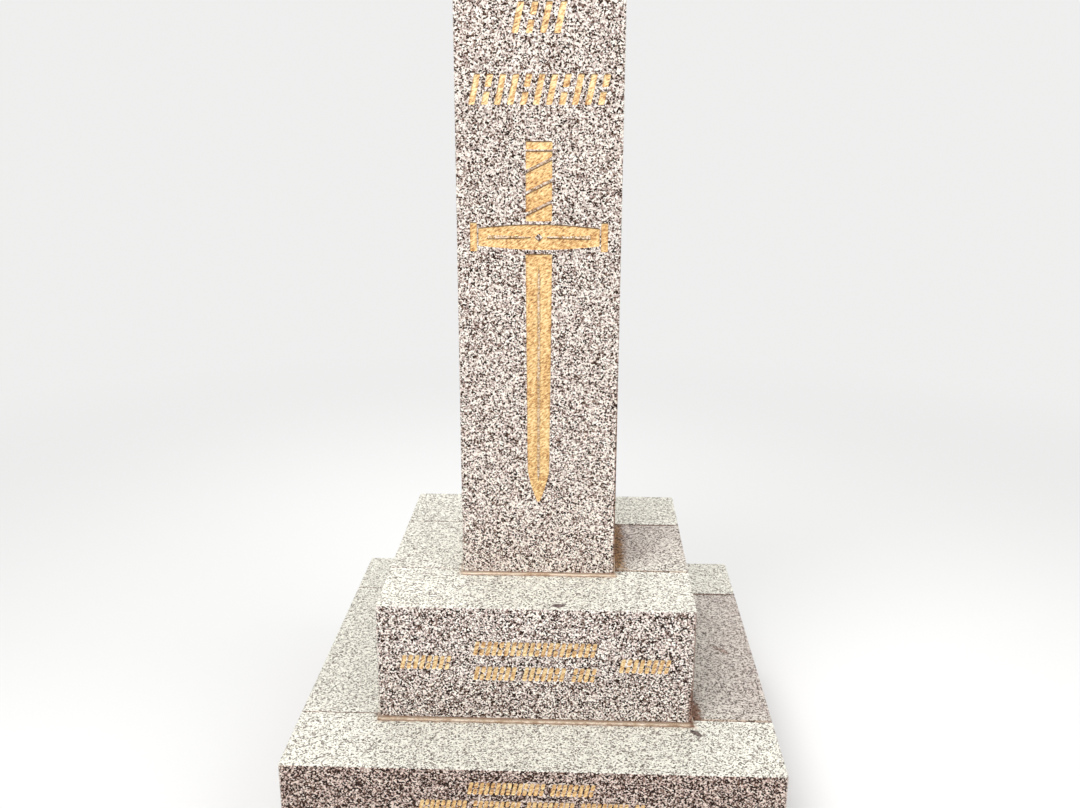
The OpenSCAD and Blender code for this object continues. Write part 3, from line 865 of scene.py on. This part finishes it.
def right_damp_and_shade(stone, inner_x, near, far, front):
    """A darker, mauve patch on the top of a right-hand stone: damp in the stone, with painted shade from the
    block above.

    Its strength is near beside the block above and far at the outer edge. Both are multiplied by front
    at the stone's front end.
    """
    low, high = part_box(stone)

    def paint(g, place, rank, weathered):
        x, y, _ = g.split(place)
        cloud = g.add("ShaderNodeTexNoise", {"Vector": place, "Scale": 16.0, "Detail": 4.0})
        across = g.ramped(x, inner_x, high.x, near, far)
        # Damp and painted shade, mixed over the weathered top.
        along = g.ramped(y, low.y, low.y + 110 * MM, front, 1.0)
        damp_and_shade = g.math("MULTIPLY", g.math("MULTIPLY", across, along),
                      g.ramped(cloud, 0.2, 0.6, 0.75, 1.1), clamp=True)
        return g.mixed(damp_and_shade, weathered, g.ramp(rank, DAMP_AND_SHADE_GRAINS))
    return paint


# ---------------------------------------------------------------- this pillar's granites and mortars

# The shade tones paint shade on the upright faces: the lower course darker than the upper, and the pillar
# darker towards its top.
PILLAR_LOOK = dict(shade_tones=(1.04, 0.86), hue=(1.0, 0.99, 0.985), darkness=1.0, top_tone=0.86)
UPPER_LOOK = dict(shade_tones=(1.02, 1.02), hue=(1.0, 1.0, 1.01), darkness=1.25, top_tone=0.985)
LOWER_LOOK = dict(shade_tones=(0.85, 0.85), hue=(1.0, 0.91, 0.88), darkness=1.7, top_tone=0.955)

upper_foot_halo = foot_halo("pillar_mortar_bed", upper_top)
lower_foot_halo = foot_halo("upper_mortar_bed", lower_top)

gold = gold_material()

# Painted shade along the pillar's right front arris, and gold paint smeared over the sword's standing lines.
pillar_granite = granite_material(
    "Granite of the pillar", **PILLAR_LOOK,
    marks=[arris_shade(pillar_high.x, pillar_low.y, pillar_low.z, 420 * MM, 0.9)],
    smears=sword_smears())

# A painted shaded arris and a rusty foot at its front right corner, and a dark mark in front of the pillar.
upper_granite = granite_material("Granite of the upper course", **UPPER_LOOK, marks=[
    upper_foot_halo,
    arris_shade(upper_high.x, upper_low.y, upper_top - 90 * MM, 110 * MM, 0.8),
    surface_mark((upper_high.x, upper_low.y, lower_top + 35 * MM), (8 * MM, 14 * MM, 45 * MM),
          RED_BROWN, 0.9, softness=0.5, uneven=0.6),
    surface_mark((43 * MM, upper_low.y + 17 * MM, upper_top), (12 * MM, 8 * MM, THROUGH),
          MAUVE, 0.95, uneven=0.1)])

# A dark mark in front of the upper course's right corner.
lower_granite = granite_material("Granite of the lower course", **LOWER_LOOK, marks=[
    lower_foot_halo,
    surface_mark((upper_high.x + 5 * MM, upper_low.y - 23 * MM, lower_top), (8 * MM, 11 * MM, THROUGH),
          DARK_MARK, 0.9, softness=0.12, uneven=0.1, slant=0.7)])

# Rust along the pillar's right side.
upper_right_granite = granite_material(
    "Damp and shaded granite of the upper right stone", **UPPER_LOOK,
    damp_and_shade_side=right_damp_and_shade("upper_right_stone", pillar_high.x, 1.0, 0.68, 0.45), marks=[
        upper_foot_halo,
        surface_mark((pillar_high.x + 4 * MM, 0, upper_top), (20 * MM, 150 * MM, THROUGH),
              RUST, 0.95, square=0.7, softness=0.45, uneven=0.8),
        *joint_lines("upper_right_stone")])

# A red-brown patch by the upper course's corner, and a mark half-way along.
lower_right_granite = granite_material(
    "Damp and shaded granite of the lower right stone", **LOWER_LOOK,
    damp_and_shade_side=right_damp_and_shade("lower_right_stone", upper_high.x, 0.5, 0.88, 0.9), marks=[
        lower_foot_halo,
        surface_mark((upper_high.x + 4 * MM, upper_low.y + 38 * MM, lower_top), (17 * MM, 62 * MM, THROUGH),
              RED_BROWN, 0.95, square=0.3, softness=0.45, uneven=1.0),
        surface_mark((upper_high.x + 90 * MM, 2 * MM, lower_top), (8 * MM, 17 * MM, THROUGH),
              RED_BROWN, 0.6, uneven=0.5, slant=0.9),
        *joint_lines("lower_right_stone")])

pillar_mortar = mortar_material(
    "Buff mortar under the pillar", srgb(206, 184, 160), srgb(170, 142, 116))

course_mortar = mortar_material(
    "Buff mortar under the course", srgb(186, 164, 140), srgb(152, 126, 102), marks=[
        surface_mark((upper_high.x + 4 * MM, upper_low.y - 4 * MM, lower_top), (9 * MM, 14 * MM, 30 * MM),
              WET_MORTAR, 0.8, softness=0.4)])

# The right halves of both back joints are soaked. The mark reaches well past them on the other sides.
joint_mortar = mortar_material(
    "Joint mortar", srgb(214, 190, 164), srgb(178, 146, 120), upright_dirt_and_shade=0.6, marks=[
        surface_mark((600 * MM, 200 * MM, 250 * MM), (600 * MM, 110 * MM, 400 * MM),
              SOAKED_MORTAR, 0.85, square=1.0)])


# ---------------------------------------------------------------- the pieces

# The pillar shows every side but its foot.
PILLAR_SIDES = ((1, 1, 0), (1, 1, 1))
# Radius of the upright corners.
COURSE_CORNER = 5 * MM
PILLAR_CORNER = 2 * MM

skin = box_skin_tree()
stone_tree = sawn_stone_tree(skin)
bed_tree = mortar_bed_tree(skin)


def open_sides(side):
    """Which sides of a course's stone show, as low and high flags along x, y and z."""
    low = {"front": (1, 1, 0), "back": (1, 0, 0), "left": (1, 0, 0), "right": (0, 0, 0)}
    high = {"front": (1, 0, 1), "back": (1, 1, 1), "left": (0, 0, 1), "right": (1, 0, 1)}
    return low[side], high[side]


def make_stone(node, material, radius, seed, sides, cutter=None):
    """One stone, in the place of its CAD node. Sides says which of its low and high sides show."""
    low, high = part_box(node)
    open_low, open_high = sides
    stone = from_tree(node + "_worn", stone_tree, {
        "Low": list(low), "High": list(high),
        "Open low sides": [float(x) for x in open_low], "Open high sides": [float(x) for x in open_high],
        "Spacing": 10 * MM, "Corner radius": radius, "Arris": 2 * MM, "Unevenness": 0.4,
        "Chip depth": 2.5 * MM, "Seed": float(seed), "Material": material}, cutter)
    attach(stone, "root")
    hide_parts(node)


def make_course(course, granite, damp_and_shade_granite, paleness, first_seed):
    """The four stones of a course, its front carved with strokes of this paleness and its right one damp and
    shaded.
    """
    for number, side in enumerate(("front", "back", "left", "right")):
        node = course + "_" + side + "_stone"
        cutter = carving_cutter(node, gold, paleness) if side == "front" else None
        material = damp_and_shade_granite if side == "right" else granite
        make_stone(node, material, COURSE_CORNER, first_seed + number, open_sides(side), cutter)


def make_pillar():
    """The shaft, carved with the sword and its strokes."""
    cutter = carving_cutter("pillar", gold, 0.8)
    make_stone("pillar", pillar_granite, PILLAR_CORNER, 21, PILLAR_SIDES, cutter)


def make_bed(node, material, seed):
    """One mortar bed, in the place of its CAD node."""
    low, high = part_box(node)
    bed = from_tree(node + "_ragged", bed_tree, {
        "Low": list(low), "High": list(high), "Spacing": 5 * MM, "Tuck": 2.6 * MM, "Spread": 2.0 * MM,
        "Raggedness": 2.4 * MM, "Seed": float(seed), "Material": material})
    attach(bed, "root")
    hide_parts(node)


def finish_joints(node):
    """Joint mortar keeps its CAD shape and gets its material here."""
    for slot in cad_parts[node].material_slots:
        slot.link = "OBJECT"
        slot.material = joint_mortar


make_course("lower", lower_granite, lower_right_granite, 0.2, 1)
make_course("upper", upper_granite, upper_right_granite, 0.9, 11)
make_pillar()
make_bed("upper_mortar_bed", course_mortar, 3)
make_bed("pillar_mortar_bed", pillar_mortar, 5)
finish_joints("lower_joints")
finish_joints("upper_joints")


# ---------------------------------------------------------------- floor, light, camera

BACKGROUND = (0.86, 0.86, 0.855, 1.0)


def make_floor():
    """A wide pale floor that fades into the background with distance."""
    mesh = bpy.data.meshes.new("floor")
    reach = 40.0
    mesh.from_pydata([(-reach, -reach, 0), (reach, -reach, 0), (reach, reach, 0), (-reach, reach, 0)],
                     [], [(0, 1, 2, 3)])
    floor = bpy.data.objects.new("floor", mesh)
    bpy.context.scene.collection.objects.link(floor)
    material = bpy.data.materials.new("Pale floor")
    material.use_nodes = True
    material.node_tree.nodes.clear()
    g = Graph(material.node_tree)
    place = g.add("ShaderNodeTexCoord", out="Object")
    far = g.ramped(g.vector("LENGTH", place), 1.0, 4.0)
    shown = g.add("ShaderNodeLightPath", out="Is Camera Ray")
    plain = g.add("ShaderNodeBsdfDiffuse", {"Color": (0.74, 0.74, 0.735, 1.0)})
    faded = g.add("ShaderNodeEmission", {"Color": BACKGROUND, "Strength": 1.0})
    both = g.add("ShaderNodeMixShader", {0: g.math("MULTIPLY", far, shown), 1: plain, 2: faded})
    g.add("ShaderNodeOutputMaterial", {"Surface": both})
    mesh.materials.append(material)


def make_world():
    """Even soft light from all round, and a pale background behind the object."""
    world = bpy.data.worlds.new("Studio")
    bpy.context.scene.world = world
    world.use_nodes = True
    world.node_tree.nodes.clear()
    g = Graph(world.node_tree)
    path = g.add("ShaderNodeLightPath", out="Is Camera Ray").node.outputs
    shown = g.math("ADD", path["Is Camera Ray"], path["Is Glossy Ray"])
    shown = g.math("MINIMUM", g.math("ADD", shown, path["Is Transmission Ray"]), 1.0)
    light = g.add("ShaderNodeBackground", {"Color": (1.0, 1.0, 1.0, 1.0), "Strength": 0.5})
    backdrop = g.add("ShaderNodeBackground", {"Color": BACKGROUND, "Strength": 1.0})
    both = g.add("ShaderNodeMixShader", {0: shown, 1: light, 2: backdrop})
    g.add("ShaderNodeOutputWorld", {"Surface": both})


def make_lamp(name, place, target, size, watts):
    """A large soft lamp aimed at a point."""
    lamp = bpy.data.lights.new(name, "AREA")
    lamp.shape = "DISK"
    lamp.size = size
    lamp.energy = watts
    thing = bpy.data.objects.new(name, lamp)
    thing.location = place
    thing.rotation_euler = (Vector(target) - Vector(place)).to_track_quat("-Z", "Y").to_euler()
    bpy.context.scene.collection.objects.link(thing)


def make_camera():
    """The camera, a little above the pillar's guard and looking slightly down."""
    camera = bpy.data.cameras.new("camera")
    camera.sensor_width = 36.0
    camera.lens = 36.52
    camera.clip_end = 200.0
    pitch, yaw, roll = 0.2773, -0.0384, 0.0022
    ahead = Vector((math.sin(yaw) * math.cos(pitch), math.cos(yaw) * math.cos(pitch), -math.sin(pitch)))
    right = Vector((math.cos(yaw), -math.sin(yaw), 0))
    up = right.cross(ahead)
    tilted_right = math.cos(roll) * right + math.sin(roll) * up
    tilted_up = math.cos(roll) * up - math.sin(roll) * right
    thing = bpy.data.objects.new("camera", camera)
    place = Vector((0.0796, -2.1512, 1.4129))
    thing.matrix_world = Matrix.Translation(place) @ Matrix(
        (tilted_right, tilted_up, -ahead)).transposed().to_4x4()
    bpy.context.scene.collection.objects.link(thing)
    bpy.context.scene.camera = thing


make_floor()
make_world()
centre = (0, 0, 0.8)
make_lamp("key", (-1.0, -2.4, 3.9), centre, 2.4, 135)
make_lamp("fill", (2.6, -1.6, 2.8), centre, 3.0, 58)
make_lamp("back", (-0.4, 2.8, 3.6), centre, 3.0, 85)
make_camera()

bpy.context.scene.view_settings.view_transform = "Standard"
